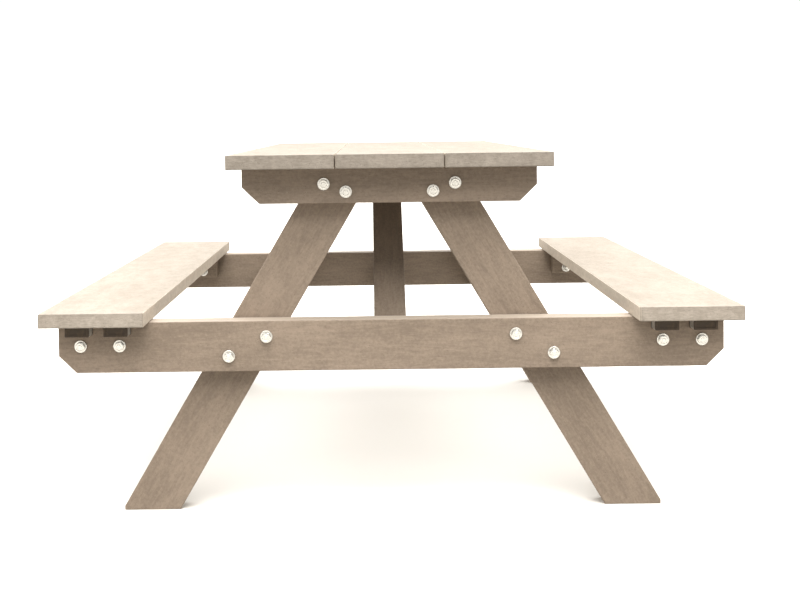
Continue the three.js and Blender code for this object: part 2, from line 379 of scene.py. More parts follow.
def outline_of(node, axis):
    """The outer loop of a node's flat side that faces down an axis, as places along the other two axes.

    It starts at its lowest place, so that it is the same in every run.
    """
    solid = bmesh.new()
    solid.from_mesh(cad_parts[node].data)
    bmesh.ops.remove_doubles(solid, verts=solid.verts, dist=TOUCH)
    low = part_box(node)[0][axis]
    flat = {face for face in solid.faces if all(abs(v.co[axis] - low) < TOUCH for v in face.verts)}
    rim = {edge for face in flat for edge in face.edges if sum(f in flat for f in edge.link_faces) == 1}
    loops = []
    while rim:
        edge = rim.pop()
        start, vertex = edge.verts
        loop = [start.co.copy()]
        while vertex != start:
            loop.append(vertex.co.copy())
            edge = next(e for e in vertex.link_edges if e in rim)
            rim.remove(edge)
            vertex = edge.other_vert(vertex)
        loops.append(loop)
    solid.free()
    first, second = [other for other in range(3) if other != axis]
    outer = max(loops, key=lambda loop: sum((a - b).length for a, b in sides_of(loop)))
    turns = without_straights([Vector((point[first], point[second])) for point in outer])
    start = min(range(len(turns)), key=lambda number: tuple(turns[number]))
    return turns[start:] + turns[:start]


def without_straights(loop):
    """A loop without the points that lie on a straight run, in turning order."""
    turns = []
    for before, point, after in zip(loop[-1:] + loop[:-1], loop, loop[1:] + loop[:1]):
        if abs((point - before).normalized().cross((after - point).normalized())) > 0.01:
            turns.append(point)
    area = sum(a.cross(b) for a, b in sides_of(turns))
    return turns if area > 0 else turns[::-1]


def longest_edge(loop):
    """The direction of a loop's longest edge."""
    best = max((b - a for a, b in sides_of(loop)), key=lambda edge: edge.length).normalized()
    return best if best.x + best.y * 0.01 > 0 else -best


def spot(axis, flat, height):
    """A point from its two places off an axis and its height along it."""
    point = [flat[0], flat[1]]
    point.insert(axis, height)
    return Vector(point)


def slice_up(solid, plane, normal):
    """Cuts a mesh's faces along a plane and keeps both sides."""
    geometry = solid.verts[:] + solid.edges[:] + solid.faces[:]
    bmesh.ops.bisect_plane(solid, geom=geometry, dist=TOUCH, plane_co=plane, plane_no=normal)


def cut_rim(solid, loop, axis, inset, shortest=15 * MM):
    """Cuts a line along the inside of each long edge of an outline."""
    done = set()
    for a, b in sides_of(loop):
        run = b - a
        inward = Vector((-run.y, run.x)).normalized()
        place = a + inward * inset
        key = (round(inward.x, 3), round(inward.y, 3), round(place.dot(inward), 5))
        if run.length > shortest and key not in done:
            done.add(key)
            slice_up(solid, spot(axis, place, 0), spot(axis, inward, 0))


def gap_to_outline(flat, loop):
    """How far a place is from the nearest edge of an outline."""
    gaps = []
    for a, b in sides_of(loop):
        run = b - a
        share = min(1, max(0, (flat - a).dot(run) / run.length_squared))
        gaps.append((flat - a - run * share).length)
    return min(gaps)


def beam_stock(node, axis, loop):
    """The stock that an outline was cut from, its length along the outline's longest edge."""
    low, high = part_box(node)
    direction = longest_edge(loop)
    along = spot(axis, direction, 0)
    across = spot(axis, Vector((-direction.y, direction.x)), 0)
    return Stock((low + high) / 2, along, across, node)


def outline_solid(node, axis, loop, edge):
    """A node's outline drawn out along an axis to the node's own thickness, with rounded edges."""
    solid = bmesh.new()
    ends = [corner[axis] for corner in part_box(node)]
    join_rings(solid, [[spot(axis, flat, end) for flat in loop] for end in ends])
    bmesh.ops.recalc_face_normals(solid, faces=solid.faces)
    rounding = {"offset": edge, "segments": 3, "profile": 0.5, "affect": "EDGES", "clamp_overlap": True}
    bmesh.ops.bevel(solid, geom=solid.edges[:], **rounding)
    return solid


def put_in_order(solid):
    """Sorts a mesh's elements by place, because cutting leaves them in an order that varies between runs."""
    for elements, place_of in (
        (solid.verts, lambda vertex: tuple(vertex.co)),
        (solid.edges, lambda edge: tuple(edge.verts[0].co + edge.verts[1].co)),
        (solid.faces, lambda face: tuple(face.calc_center_median())),
    ):
        ranks = {element: rank for rank, element in enumerate(sorted(elements, key=place_of))}
        elements.sort(key=ranks.get)


def beam_mesh(name, node, axis, settings, tint):
    """A moulded beam cut to a node's outline: rounded edges, faces a little sunk and uneven."""
    loop = outline_of(node, axis)
    low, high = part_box(node)
    stock = beam_stock(node, axis, loop)
    solid = outline_solid(node, axis, loop, settings.edge)
    rim = 2.4 * settings.edge
    cut_rim(solid, loop, axis, rim)
    for height in (low[axis] + rim, (low[axis] + high[axis]) / 2, high[axis] - rim):
        slice_up(solid, spot(axis, (0, 0), height), spot(axis, (0, 0), 1))
    reach = [stock.local(vertex.co) for vertex in solid.verts]
    for number, direction in ((0, stock.along), (1, stock.across)):
        least, most = min(p[number] for p in reach), max(p[number] for p in reach)
        count = round((most - least) / settings.cell)
        for cut in range(1, count):
            slice_up(solid, stock.centre + direction * (least + (most - least) * cut / count), direction)
    put_in_order(solid)
    mesh = mesh_from(name, solid)
    # Mask of the upper faces, where the beam material paints light.
    upper = [min(1, max(0, vertex.normal.z * 10 - 8.5)) for vertex in mesh.vertices]
    number_layer(mesh, "upper", upper)
    number_layer(mesh, "tint", [tint] * len(mesh.vertices))
    weather_beam(mesh, stock, loop, axis, low, high, settings)
    return mesh


def weather_beam(mesh, stock, loop, axis, low, high, settings):
    """Sinks and warps a beam's faces and notes its edges and its sawn ends for the material."""
    others = [other for other in range(3) if other != axis]
    points = [stock.local(vertex.co) for vertex in mesh.vertices]
    half_width = max(abs(point[1]) for point in points)
    wear, sawn, moved = [], [], []
    for vertex, point in zip(mesh.vertices, points):
        flat = Vector([vertex.co[other] for other in others])
        depth_gap = min(vertex.co[axis] - low[axis], high[axis] - vertex.co[axis])
        gap = max(gap_to_outline(flat, loop), depth_gap)
        inner = min(1, gap / BEAM_BAND)
        wide = abs(vertex.normal[axis]) > 0.9
        sink = settings.sink * inner * (1 - (point[1] / half_width) ** 2 if wide else 0.4)
        warp = settings.warp * hollow(point + stock.place, WARP_WIDTH) * (0.35 + 0.65 * inner)
        moved.append(vertex.co - vertex.normal * (sink + warp))
        wear.append(math.exp(-gap / (1.4 * settings.edge)))
        sawn.append(1.0 if abs(vertex.normal.dot(stock.along)) > 0.5 else 0.0)
    settle(mesh, moved, stock, points, wear=wear, sawn=sawn)


# ---- turned and hexagonal fittings --------------------------------------------------------------

RING = 48


def circle(radius, height):
    """A ring of points round the local Z axis."""
    turn = 2 * math.pi / RING
    return [Vector((radius * math.cos(turn * k), radius * math.sin(turn * k), height)) for k in range(RING)]


def hexagon(across_flats, height, shape=lambda radius: 0):
    """A ring on a hexagon whose corners are slightly blunt. Shape gives each radius a change of height."""
    ring = []
    for point in circle(1, 0):
        turn = math.atan2(point.y, point.x)
        off_flat = (turn + math.pi / 6) % (math.pi / 3) - math.pi / 6
        radius = min(across_flats / 2 / math.cos(off_flat), 0.566 * across_flats)
        ring.append(Vector((point.x * radius, point.y * radius, height + shape(radius))))
    return ring


def join_rings(solid, rings, closed=False):
    """Skins a stack of rings. A closed stack joins its last ring to its first; an open one is capped."""
    rows = [[solid.verts.new(point) for point in ring] for ring in rings]
    for lower, upper in sides_of(rows) if closed else zip(rows, rows[1:]):
        for k in range(len(lower)):
            solid.faces.new((lower[k - 1], lower[k], upper[k], upper[k - 1]))
    if not closed:
        solid.faces.new(rows[0][::-1])
        solid.faces.new(rows[-1])


def chamfer_drop(across_flats, slope=0.6):
    """The drop of a hexagon's corners below the chamfer's circle, for a given radius."""
    circle_radius = 0.47 * across_flats
    return lambda radius: -max(0, radius - circle_radius) * slope


def hex_head_rings(across_flats, height, base):
    """Rings of a chamfered hexagon head, from its bearing face at a base height to its crown."""
    drop = chamfer_drop(across_flats)
    return [
        hexagon(across_flats * 0.985, base),
        hexagon(across_flats, base + 0.04 * height),
        hexagon(across_flats, base + height, drop),
        circle(0.46 * across_flats, base + height),
        circle(0.43 * across_flats, base + height),
        circle(0.39 * across_flats, base + 0.93 * height),
        circle(0.26 * across_flats, base + 0.93 * height),
        circle(0.22 * across_flats, base + height),
        circle(0.05 * across_flats, base + height),
    ]


def washer_rings(outer, bore, base, thickness):
    """Rings of a flat washer with rounded rims, closed on itself."""
    soft = 0.2 * thickness
    return [
        circle(bore, base + soft), circle(bore + soft, base), circle(outer - soft, base),
        circle(outer, base + soft), circle(outer, base + thickness - soft),
        circle(outer - soft, base + thickness), circle(bore + soft, base + thickness),
        circle(bore, base + thickness - soft),
    ]


def nut_rings(across_flats, bore, base, height):
    """Rings of a nut chamfered on both faces, closed on itself."""
    drop = chamfer_drop(across_flats)
    seat, crown = 0.44 * across_flats, 0.46 * across_flats
    return [
        circle(bore, base + 0.1 * height), circle(bore * 1.12, base), circle(seat, base),
        hexagon(across_flats, base + 0.02 * height, lambda radius: -drop(radius)),
        hexagon(across_flats, base + height, drop), circle(crown, base + height),
        circle(bore * 1.12, base + height), circle(bore, base + 0.92 * height),
    ]


def thread_rings(radius, pitch, start, end):
    """Rings along a thread: each point's radius follows the helix, and the tip is chamfered."""
    steps = math.ceil((end - start) / (pitch / 5))
    rings = []
    for step in range(steps + 1):
        height = start + (end - start) * step / steps
        ring = circle(1, height)
        for k, point in enumerate(ring):
            phase = (height / pitch - k / RING) % 1
            crest = radius - 0.6 * pitch * abs(2 * phase - 1) * 0.9
            tip = radius - max(0, height - end + 1.6 * pitch) * 0.9
            point.x, point.y = point.x * min(crest, tip), point.y * min(crest, tip)
        rings.append(ring)
    return rings


def mesh_of(name, *stacks):
    """A mesh of separate closed shells. Each stack is a list of rings and whether it closes on itself."""
    solid = bmesh.new()
    for rings, closed in stacks:
        join_rings(solid, rings, closed)
    bmesh.ops.recalc_face_normals(solid, faces=solid.faces)
    mesh = mesh_from(name, solid)
    shade(mesh, FITTING_CREASE)
    return mesh


def bolt_mesh(fittings, grip, tail_end):
    """A bolt with its washers and nut. Height 0 is the outer face of the joint, and the head is above it."""
    radius, flats = fittings.shank / 2, fittings.across_flats
    thickness = fittings.washer_thickness
    nut_face = -grip - thickness
    plain_end, thread_start = nut_face + 2 * MM, nut_face + 1 * MM
    neck = [circle(radius, thickness), circle(radius, plain_end)]
    thread = thread_rings(radius, fittings.pitch, -thread_start, tail_end)
    for ring in thread:
        for point in ring:
            point.z = -point.z
    head = hex_head_rings(flats, fittings.head, thickness)
    washer, bore = fittings.washer / 2, radius + BOLT_SLACK
    return mesh_of(
        "bolt_set",
        (head[::-1] + neck + thread, False),
        (washer_rings(washer, bore, 0, thickness), True),
        (washer_rings(washer, bore, nut_face, thickness), True),
        (nut_rings(flats, radius + NUT_SLACK, nut_face - fittings.nut, fittings.nut), True),
    )


def screw_mesh(fittings):
    """A hexagon screw head with its flange. Height 0 is the face it is driven into."""
    size = fittings.screw
    flange_top = 0.16 * size
    flange = [
        circle(0.2 * size, -0.1 * size), circle(0.84 * size, 0),
        circle(0.84 * size, 0.06 * size), circle(0.6 * size, flange_top),
    ]
    return mesh_of("screw_head", (flange + hex_head_rings(size, 0.55 * size, flange_top), False))


def rounded_rectangle(width, height, radius, place):
    """A ring round a rectangle with round corners, at a place along the local Z axis."""
    ring = []
    corners = ((1, 1), (-1, 1), (-1, -1), (1, -1))
    steps = RING // 4
    for quarter, (side, rise) in enumerate(corners):
        centre = Vector((side * (width / 2 - radius), rise * (height / 2 - radius), place))
        for step in range(steps):
            turn = (quarter + step / (steps - 1)) * math.pi / 2
            ring.append(centre + radius * Vector((math.cos(turn), math.sin(turn), 0)))
    return ring


# ---- shader arithmetic --------------------------------------------------------------------------


class Value:
    """A node's output that takes part in Python arithmetic: each operator adds the node that does it."""

    def __init__(self, recipe, socket):
        self.recipe = recipe
        self.socket = socket

    def combine(self, operation, first, second):
        """The node for an operation, which is a vector one where this value is a vector."""
        vector = self.socket.type == "VECTOR"
        kind = "ShaderNodeVectorMath" if vector else "ShaderNodeMath"
        return self.recipe.node(kind, {"operation": operation}, {0: first, 1: second})

    def __add__(self, other):
        return self.combine("ADD", self, other)

    def __radd__(self, other):
        return self.combine("ADD", other, self)

    def __sub__(self, other):
        return self.combine("SUBTRACT", self, other)

    def __rsub__(self, other):
        return self.combine("SUBTRACT", other, self)

    def __mul__(self, other):
        return self.combine("MULTIPLY", self, other)

    def __rmul__(self, other):
        return self.combine("MULTIPLY", other, self)

    def rise(self, low, high):
        """0 below the low value, 1 above the high one, with a soft step between."""
        sockets = {"Value": self, "From Min": low, "From Max": high}
        return self.recipe.node("ShaderNodeMapRange", {"interpolation_type": "SMOOTHSTEP"}, sockets)


class Recipe:
    """The node tree of a material or a world, written as expressions."""

    def __init__(self, owner):
        self.owner = owner
        owner.use_nodes = True
        self.tree = owner.node_tree
        self.tree.nodes.clear()

    def node(self, kind, settings=None, sockets=None, output=0):
        """Adds a node: first its settings, then the values or links of its sockets. Gives one output."""
        made = self.tree.nodes.new(kind)
        for name, value in (settings or {}).items():
            setattr(made, name, value)
        for name, value in (sockets or {}).items():
            if isinstance(value, Value):
                self.tree.links.new(value.socket, made.inputs[name])
            else:
                made.inputs[name].default_value = value
        return Value(self, made.outputs[output]) if made.outputs else None

    def layer(self, name, output="Fac"):
        """A number or vector that the mesh holds for each vertex."""
        return self.node("ShaderNodeAttribute", {"attribute_name": name}, output=output)

    def noise(self, place, scale, detail=3.0, roughness=0.55, distortion=0.0):
        """Soft random clouds; a larger scale makes them smaller."""
        sockets = {"Vector": place, "Scale": scale, "Detail": detail, "Roughness": roughness}
        sockets["Distortion"] = distortion
        return self.node("ShaderNodeTexNoise", {}, sockets)

    def cells(self, place, scale, output="Distance"):
        """Cells round scattered points: the distance to the nearest one, or a colour for each cell."""
        return self.node("ShaderNodeTexVoronoi", {}, {"Vector": place, "Scale": scale}, output)

    def blend(self, share, first, second, mode="MIX"):
        """Mixes two colours."""
        settings = {"data_type": "RGBA", "blend_type": mode, "clamp_factor": True}
        return self.node("ShaderNodeMix", settings, {0: share, 6: opaque(first), 7: opaque(second)}, 2)

    def finish(self, roughness, tone, height, bump, **constants):
        """The principled shader with a bump, and with sockets that stay the same all over the surface."""
        normal = self.node("ShaderNodeBump", {}, {"Strength": 1.0, "Distance": bump, "Height": height})
        sockets = {"Base Color": tone, "Roughness": roughness, "Normal": normal}
        sockets.update({name.replace("_", " "): value for name, value in constants.items()})
        shader = self.node("ShaderNodeBsdfPrincipled", {}, sockets)
        self.node("ShaderNodeOutputMaterial", {}, {"Surface": shader})
        return self.owner


def opaque(tone):
    """A colour with its alpha, or a value as it is."""
    return tone if isinstance(tone, Value) else (*tone, 1.0)


def scaled(tone, factor):
    """A colour made darker or lighter."""
    return tuple(part * factor for part in tone)


def plank_plastic(settings):
    """Pale moulded plastic: soft ripples and flow clouds, specks, worn arrises and torn, pitted sawn ends."""
    recipe = Recipe(bpy.data.materials.new("plank_plastic"))
    stock = recipe.layer("stock", "Vector")
    wear = recipe.layer("wear")
    sawn = recipe.layer("sawn")
    clouds = recipe.noise(stock * (3.0, 9.0, 9.0), 1.0, 4.0, 0.6)
    flow = recipe.noise(stock * (16.0, 70.0, 70.0), 1.0, 4.0, 0.6, 0.8)
    mottle = recipe.noise(stock, 110.0, 3.0, 0.6)
    fine = recipe.noise(stock, 900.0, 2.0, 0.6)
    pits = 1 - recipe.cells(stock, 210.0).rise(0.08, 0.26)
    torn = recipe.noise(stock * (1.0, 70.0, 420.0), 1.0, 5.0, 0.72)
    patches = recipe.noise(stock * (20.0, 28.0, 28.0), 1.0, 5.0, 0.68)
    shade_share = clouds * 0.2 + patches * 0.3 + flow * 0.2 + mottle * 0.3
    face = recipe.blend(shade_share.rise(0.36, 0.64), settings.dark, settings.light)
    face = recipe.blend(fine.rise(0.62, 0.75) * 0.35, face, scaled(settings.light, 1.25))
    face = recipe.blend(mottle.rise(0.58, 0.72) * 0.3, face, scaled(settings.dark, 0.85))
    end_share = torn * 0.45 + mottle * 0.2 + patches * 0.35
    end = recipe.blend(end_share.rise(0.35, 0.66), scaled(settings.dark, 0.85), scaled(settings.light, 0.95))
    tone = recipe.blend(sawn, face, end)
    tone = recipe.blend(pits * 0.35, tone, scaled(settings.dark, 0.45))
    rubbed = wear * mottle.rise(0.35, 0.6)
    tone = recipe.blend(rubbed * (1 - sawn) * 0.5, tone, scaled(settings.light, 1.2))
    tone = recipe.blend(wear * sawn * 0.6, tone, scaled(settings.dark, 0.45))
    # The tint layer multiplies in each plank's lightness, with painted light on the long sides.
    tone = recipe.blend(1.0, tone, recipe.layer("tint", "Color"), "MULTIPLY")
    height = flow * 0.3 + mottle * 0.5 + fine * 0.12 - pits * 0.35 + torn * sawn * 0.3
    roughness = 0.62 + flow * 0.2 + pits * 0.1 - wear * 0.12
    return recipe.finish(roughness, tone, height, 1.1 * MM, Specular_IOR_Level=0.32)


def beam_plastic(settings):
    """Grey-brown moulded plastic: flow streaks, fine scrapes, pits, painted light on the upper faces, paler
    arrises.
    """
    recipe = Recipe(bpy.data.materials.new("beam_plastic"))
    stock = recipe.layer("stock", "Vector")
    wear = recipe.layer("wear")
    sawn = recipe.layer("sawn")
    clouds = recipe.noise(stock * (4.0, 12.0, 12.0), 1.0, 4.0, 0.6)
    flow = recipe.noise(stock * (22.0, 150.0, 150.0), 1.0, 5.0, 0.65, 0.6)
    scrapes = recipe.noise(stock * (45.0, 900.0, 900.0), 1.0, 3.0, 0.7)
    mottle = recipe.noise(stock, 170.0, 3.0, 0.6)
    fine = recipe.noise(stock, 650.0, 2.0, 0.6)
    pits = 1 - recipe.cells(stock, 170.0).rise(0.06, 0.2)
    shade_share = clouds * 0.3 + flow * 0.3 + mottle * 0.25 + fine * 0.15
    tone = recipe.blend(shade_share.rise(0.38, 0.62), settings.dark, settings.light)
    # Painted light: the upper faces are blended towards a paler tone.
    tone = recipe.blend(recipe.layer("upper") * 0.85, tone, settings.bleached)
    tone = recipe.blend(scrapes.rise(0.56, 0.7) * 0.45, tone, scaled(settings.light, 1.25))
    tone = recipe.blend(fine.rise(0.6, 0.75) * 0.3, tone, scaled(settings.dark, 0.6))
    tone = recipe.blend(pits * 0.45, tone, scaled(settings.dark, 0.5))
    tone = recipe.blend(sawn * mottle * 0.5, tone, scaled(settings.dark, 0.7))
    tone = recipe.blend(wear * mottle.rise(0.4, 0.6) * 0.2, tone, scaled(settings.light, 1.2))
    tone = recipe.blend(1.0, tone, recipe.layer("tint", "Color"), "MULTIPLY")
    height = flow * 0.35 + scrapes * 0.25 + mottle * 0.35 - pits * 0.4
    roughness = 0.58 + flow * 0.22 + pits * 0.1 - wear * 0.1
    return recipe.finish(roughness, tone, height, 0.7 * MM, Specular_IOR_Level=0.35)


def stainless(fittings):
    """Lightly brushed stainless steel with water marks."""
    recipe = Recipe(bpy.data.materials.new("stainless"))
    place = recipe.node("ShaderNodeTexCoord", output="Object")
    brush = recipe.noise(place * (900.0, 900.0, 90.0), 1.0, 3.0)
    marks = recipe.noise(place, 160.0, 3.0)
    tone = recipe.blend(marks.rise(0.45, 0.7) * 0.35, fittings.steel, scaled(fittings.steel, 0.72))
    roughness = 0.16 + brush * 0.12 + marks * 0.12
    return recipe.finish(roughness, tone, brush * 0.4 + marks * 0.6, 0.06 * MM, Metallic=1.0)


def galvanised(fittings):
    """Dull galvanised steel: crystal patches and a little white bloom."""
    recipe = Recipe(bpy.data.materials.new("galvanised"))
    place = recipe.node("ShaderNodeTexCoord", output="Object")
    crystals = recipe.cells(place, 140.0, "Color")
    patch = recipe.node("ShaderNodeSeparateColor", {}, {0: crystals})
    bloom = recipe.noise(place, 35.0, 4.0)
    tone = recipe.blend(patch, scaled(fittings.galvanised, 0.8), scaled(fittings.galvanised, 1.15))
    tone = recipe.blend(bloom.rise(0.55, 0.7) * 0.5, tone, (0.42, 0.41, 0.39))
    roughness = 0.42 + patch * 0.14 + bloom * 0.15
    return recipe.finish(roughness, tone, bloom + patch * 0.1, 0.12 * MM, Metallic=0.35)


def plug_plastic(fittings):
    """Dusty black-brown moulded plastic."""
    recipe = Recipe(bpy.data.materials.new("plug_plastic"))
    place = recipe.node("ShaderNodeTexCoord", output="Object")
    dust = recipe.noise(place, 120.0, 4.0)
    grain = recipe.noise(place, 1400.0, 2.0)
    tone = recipe.blend(dust.rise(0.45, 0.75) * 0.5, fittings.plug, scaled(fittings.plug, 2.2))
    roughness = 0.5 + dust * 0.25
    return recipe.finish(roughness, tone, grain * 0.5 + dust * 0.5, 0.15 * MM, Specular_IOR_Level=0.25)


def floor_paint(stage):
    """Pale, nearly even floor."""
    recipe = Recipe(bpy.data.materials.new("floor_paint"))
    place = recipe.node("ShaderNodeTexCoord", output="Object")
    cloud = recipe.noise(place, 1.3, 3.0)
    tone = recipe.blend(cloud, scaled(stage.floor, 0.99), scaled(stage.floor, 1.01))
    return recipe.finish(0.8 + cloud * 0.1, tone, cloud, 0.1 * MM)


def material(maker, settings):
    """The material that bears its maker's name, made the first time it is asked for."""
    return bpy.data.materials.get(maker.__name__) or maker(settings)


# ---- operators ----------------------------------------------------------------------------------


def all_corners(radius):
    """The same rounding for a plank's four corners, each with its end and its side."""
    return [(radius, end, side) for end in (-1, 1) for side in (-1, 1)]


def build_plank(context, node, corners, tints):
    """Makes a plank in place of its CAD node. Tints are those of its faces and of its sawn ends."""
    settings = context.scene.picnic_planks
    low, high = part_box(node)
    stock = Stock((low + high) / 2, (0, 1, 0), (-1, 0, 0), node)
    size = (high.y - low.y, high.x - low.x, high.z - low.z)
    mesh = plank_mesh("moulded_" + node, stock, size, settings, corners, tints)
    paint = material(plank_plastic, settings)
    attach(add_piece("moulded_" + node, mesh, paint, "plank", node), BODY)


def build_beams(context, nodes, axis, tint_name):
    """Makes beams in place of CAD nodes whose flat sides face along an axis."""
    settings = context.scene.picnic_beams
    paint = material(beam_plastic, settings)
    for node in nodes:
        mesh = beam_mesh("moulded_" + node, node, axis, settings, getattr(settings, tint_name))
        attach(add_piece("moulded_" + node, mesh, paint, "beam", node), BODY)


def at_both_ends(name):
    """The names of the same piece in the front and the back frame."""
    return [f"{end}_{name}" for end in ENDS]


def at_four_places(name):
    """The names of the same piece on both sides of both frames."""
    return [f"{end}_{name}_{side}" for end in ENDS for side in SIDES]


class PICNIC_OT_top_planks(bpy.types.Operator):
    """Build the three rippled planks of the top"""

    bl_idname = "picnic.top_planks"
    bl_label = "Top Planks"

    def execute(self, context):
        settings = context.scene.picnic_planks
        for node in TOP_PLANKS:
            build_plank(context, node, all_corners(TOP_CORNER), (settings.top_tint, settings.top_end_tint))
        return {"FINISHED"}


class PICNIC_OT_seat_planks(bpy.types.Operator):
    """Build the two seat planks; the right one has a worn, rounder corner"""

    bl_idname = "picnic.seat_planks"
    bl_label = "Seat Planks"

    def execute(self, context):
        settings = context.scene.picnic_planks
        for node in SEAT_PLANKS:
            corners = all_corners(SEAT_CORNER)
            if node.endswith("right"):
                corners.append((WORN_CORNER, -1, 1))
            build_plank(context, node, corners, (settings.seat_tint, settings.seat_end_tint))
        return {"FINISHED"}


class PICNIC_OT_rails(bpy.types.Operator):
    """Build the seat rails, notched for the box sections"""

    bl_idname = "picnic.rails"
    bl_label = "Rails"

    def execute(self, context):
        build_beams(context, at_both_ends("rail"), Y, "rail_tint")
        return {"FINISHED"}


class PICNIC_OT_bearers(bpy.types.Operator):
    """Build the bearers under the top"""

    bl_idname = "picnic.bearers"
    bl_label = "Bearers"

    def execute(self, context):
        build_beams(context, at_both_ends("bearer"), Y, "bearer_tint")
        return {"FINISHED"}


class PICNIC_OT_legs(bpy.types.Operator):
    """Build the four leaning legs"""

    bl_idname = "picnic.legs"
    bl_label = "Legs"

    def execute(self, context):
        build_beams(context, at_four_places("leg"), Y, "leg_tint")
        return {"FINISHED"}


class PICNIC_OT_seat_blocks(bpy.types.Operator):
    """Build the blocks behind the rail ends"""

    bl_idname = "picnic.seat_blocks"
    bl_label = "Seat Blocks"

    def execute(self, context):
        build_beams(context, at_four_places("seat_block"), Y, "leg_tint")
        return {"FINISHED"}


class PICNIC_OT_bracing(bpy.types.Operator):
    """Build the two diagonal braces and the batten that they meet"""

    bl_idname = "picnic.bracing"
    bl_label = "Braces and Batten"

    def execute(self, context):
        build_beams(context, at_both_ends("brace"), X, "brace_tint")
        build_beams(context, ["top_batten"], Y, "brace_tint")
        return {"FINISHED"}


class PICNIC_OT_bolts(bpy.types.Operator):
    """Build the bolts with their washers and nuts"""

    bl_idname = "picnic.bolts"
    bl_label = "Bolts"

    def execute(self, context):
        fittings = context.scene.picnic_fittings
        paint = material(stainless, fittings)
        outer_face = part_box("front_rail")[0].y
        inner_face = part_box("front_leg_left")[1].y
        tail_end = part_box("bolt_front_left_leg_outer")[1].y
        mesh = bolt_mesh(fittings, inner_face - outer_face, tail_end - outer_face)
        draw = random.Random("bolts")
        for end, outward in zip(ENDS, (-1, 1)):
            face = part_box(f"{end}_rail")[0 if outward < 0 else 1].y
            stand = Matrix.Rotation(-outward * math.pi / 2, 4, "X")
            for side in SIDES:
                for where in BOLT_PLACES:
                    node = f"bolt_{end}_{side}_{where}"
                    low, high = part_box(node)
                    piece = add_piece(f"fastened_{node}", mesh, paint, "bolt", node)
                    place = Matrix.Translation(((low.x + high.x) / 2, face, (low.z + high.z) / 2))
                    turn = Matrix.Rotation(draw.uniform(0, math.pi / 3), 4, "Z")
                    piece.matrix_world = place @ stand @ turn
                    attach(piece, BODY)
        return {"FINISHED"}


class PICNIC_OT_seat_sections(bpy.types.Operator):
    """Build the steel box sections under the seats and their end plugs"""

    bl_idname = "picnic.seat_sections"
    bl_label = "Box Sections and Plugs"

    def section(self, node, fittings):
        """A box section along the local Z axis, open at both ends."""
        low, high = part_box(node)
        width, height, reach = high.x - low.x, high.z - low.z, (high.y - low.y) / 2
        edge, wall = fittings.section_edge, fittings.wall
        bore = (width - 2 * wall, height - 2 * wall, edge - wall / 2)
        rings = [
            rounded_rectangle(width, height, edge, -reach), rounded_rectangle(width, height, edge, reach),
            rounded_rectangle(*bore, reach), rounded_rectangle(*bore, -reach),
        ]
        return mesh_of(node, (rings, True))

    def plug(self, node, fittings):
        """A plug along the local Z axis: its stem below 0, and above it a flange with a dished face."""
        low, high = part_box(node)
        width, height, depth = high.x - low.x, high.z - low.z, high.y - low.y
        edge, soft = fittings.section_edge, PLUG_SOFTENING
        slack = 2 * (fittings.wall + PLUG_SLACK)
        outline = (
            (slack, edge / 2, PLUG_FLANGE - depth), (slack, edge / 2, 0),
            (soft, edge, 0), (0, edge, soft), (0, edge, PLUG_FLANGE - soft), (2 * soft, edge, PLUG_FLANGE),
            (2 * PLUG_RIM, edge, PLUG_FLANGE), (2 * PLUG_RIM + soft, edge, PLUG_FLANGE - soft),
        )
        rings = [rounded_rectangle(width - less, height - less, radius, z) for less, radius, z in outline]
        return mesh_of(node, (rings, False))

    def execute(self, context):
        fittings = context.scene.picnic_fittings
        zinc = material(galvanised, fittings)
        black = material(plug_plastic, fittings)
        upright = Matrix.Rotation(math.pi / 2, 4, "X")
        for side in SIDES:
            for where in SECTION_PLACES:
                node = f"seat_section_{side}_{where}"
                low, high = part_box(node)
                tube = add_piece("steel_" + node, self.section(node, fittings), zinc, "section", node)
                tube.matrix_world = Matrix.Translation((low + high) / 2) @ upright
                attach(tube, BODY)
                for end in ENDS:
                    self.place_plug(f"plug_{end}_{side}_{where}", end, black, fittings)
        return {"FINISHED"}

    def place_plug(self, node, end, paint, fittings):
        """Fits a plug into its section, with the flange outside."""
        low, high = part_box(node)
        front = end == "front"
        seat = low.y + PLUG_FLANGE if front else high.y - PLUG_FLANGE
        piece = add_piece("fitted_" + node, self.plug(node, fittings), paint, "plug", node)
        turn = Matrix.Identity(4) if front else Matrix.Rotation(math.pi, 4, "Z")
        place = Matrix.Translation(((low.x + high.x) / 2, seat, (low.z + high.z) / 2))
        piece.matrix_world = place @ turn @ Matrix.Rotation(math.pi / 2, 4, "X")
        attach(piece, BODY)


class PICNIC_OT_brackets(bpy.types.Operator):
    """Build the bent plates at both ends of each brace, with their screws"""

    bl_idname = "picnic.brackets"
    bl_label = "Brace Brackets"

    def execute(self, context):
        fittings = context.scene.picnic_fittings
        zinc = material(galvanised, fittings)
        for end in ENDS:
            for where in ("foot", "head"):
                node = f"{end}_brace_{where}_bracket"
                mesh = plate_mesh("bent_" + node, node)
                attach(add_piece("bent_" + node, mesh, zinc, "section", node), BODY)
                self.drive_screws(context, node)
        return {"FINISHED"}

    def drive_screws(self, context, node):
        """Two screws through each flange of a plate, on the inside of its bend."""
        loop = outline_of(node, X)
        edges = sorted(sides_of(loop), key=lambda edge: (edge[1] - edge[0]).length)
        centre = sum(loop, Vector((0, 0))) / len(loop)
        number = 0
        for a, b in edges[-4:]:
            run = (b - a).normalized()
            outward = Vector((run.y, -run.x))
            middle = (a + b) / 2
            if (centre - middle).dot(outward) < 0:
                continue
            for across in (-1, 1):
                number += 1
                place = Vector((across * PLATE_SCREW_OFFSET, middle.x, middle.y))
                facing = Vector((0, outward.x, outward.y))
                drive_screw(context, f"screw_{node}_{number}", place, facing)


def plate_mesh(name, node):
    """A plate bent to a node's outline, with softened edges."""
    mesh = mesh_from(name, outline_solid(node, X, outline_of(node, X), PLATE_SOFTENING))
    shade(mesh, PLATE_CREASE)
    return mesh


def facing_matrix(direction, axis):
    """The turn that points an axis along a direction."""
    return direction.to_track_quat(axis, "Y").to_matrix().to_4x4()


